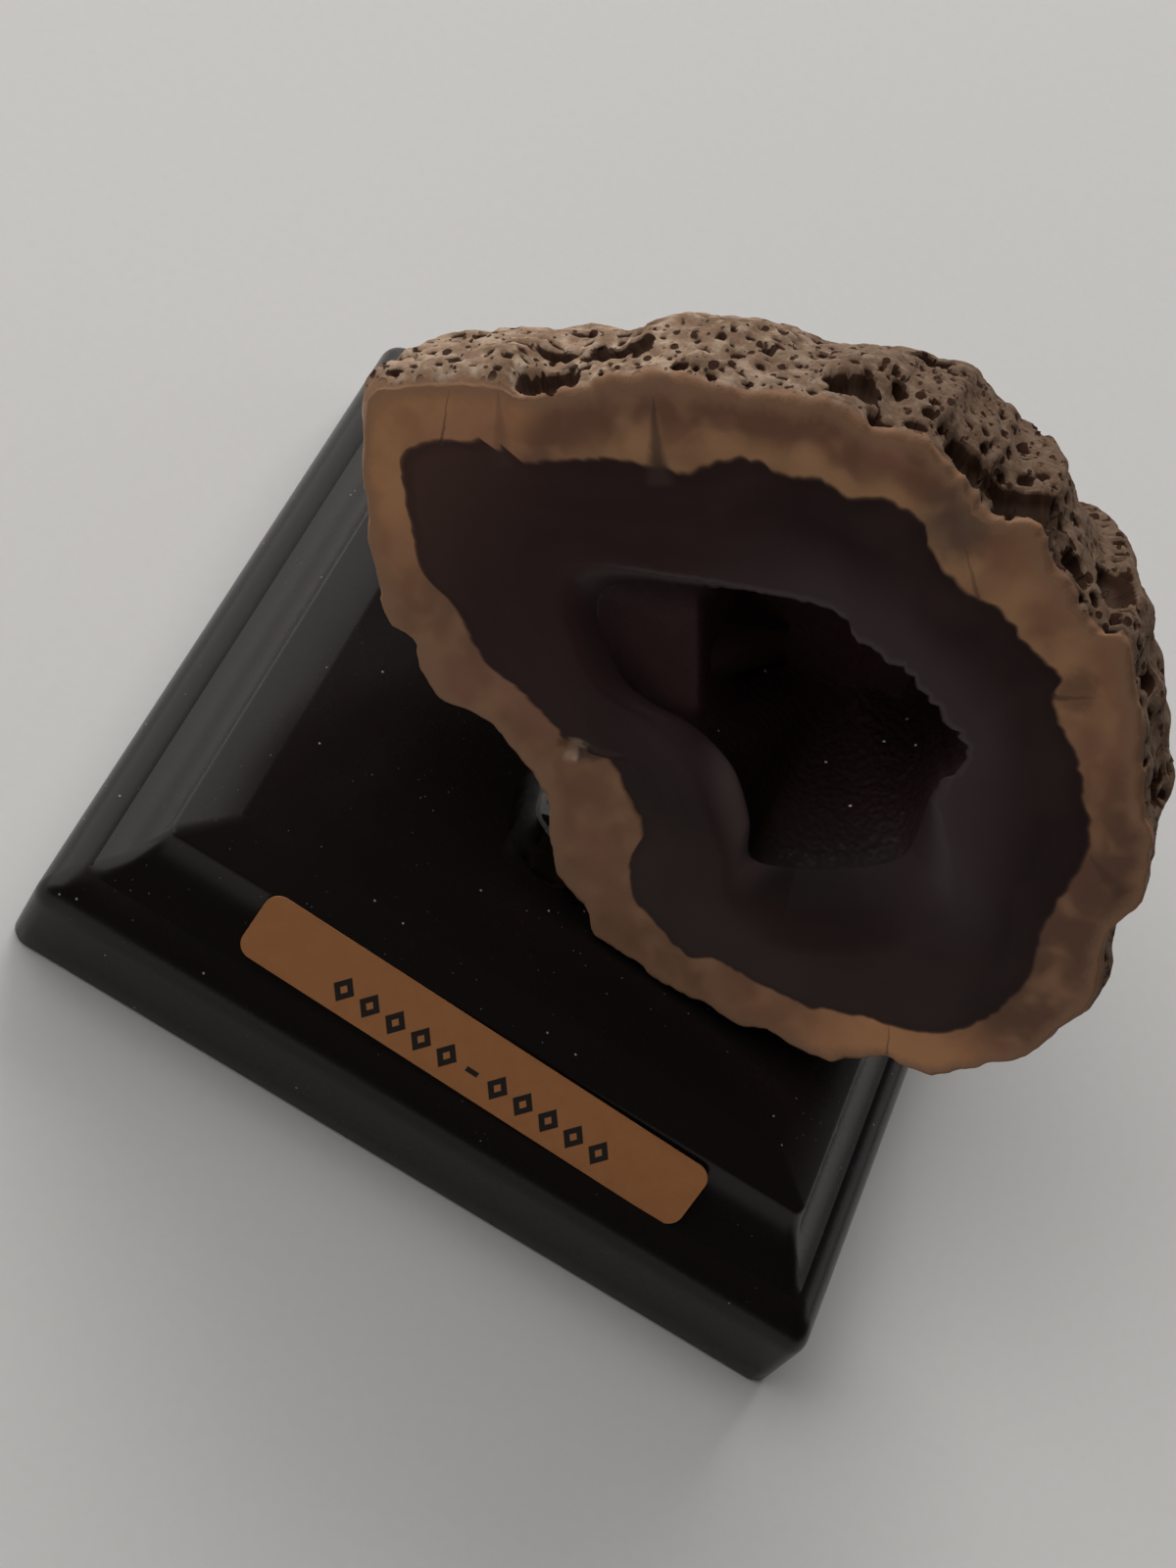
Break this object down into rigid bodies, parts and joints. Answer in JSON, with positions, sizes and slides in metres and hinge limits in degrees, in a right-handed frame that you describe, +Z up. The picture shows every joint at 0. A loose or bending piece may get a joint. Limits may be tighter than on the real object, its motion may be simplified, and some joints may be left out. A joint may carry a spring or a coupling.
{
  "type": "agate geode on a stand",
  "caption": "Polished agate geode half with a crystal-lined hollow, leaning back on a square moulded black display stand with a plain bronze label.",
  "frame": {"origin": "middle of the stand's flat underside", "axes": "+Z up, the label and the cut face look towards -Y, +X to the right when facing the label"},
  "size_m": [0.08, 0.076, 0.0646],
  "materials": {
    "black_lacquer": "glossy black with fine dust",
    "bronze_label": "satin bronze-gold foil with rounded corners",
    "agate_stone": "opaque stone, polished tan and dark banded agate face, rough pitted grey-brown outside",
    "dark_druse": "fine dark crystals",
    "clear_glue": "clear and shiny"
  },
  "bodies": {
    "root": {"stand": "black_lacquer", "label": "bronze_label", "geode": "agate_stone", "crystal_lining": "dark_druse", "glue_drop": "clear_glue"}
  },
  "joints": []
}
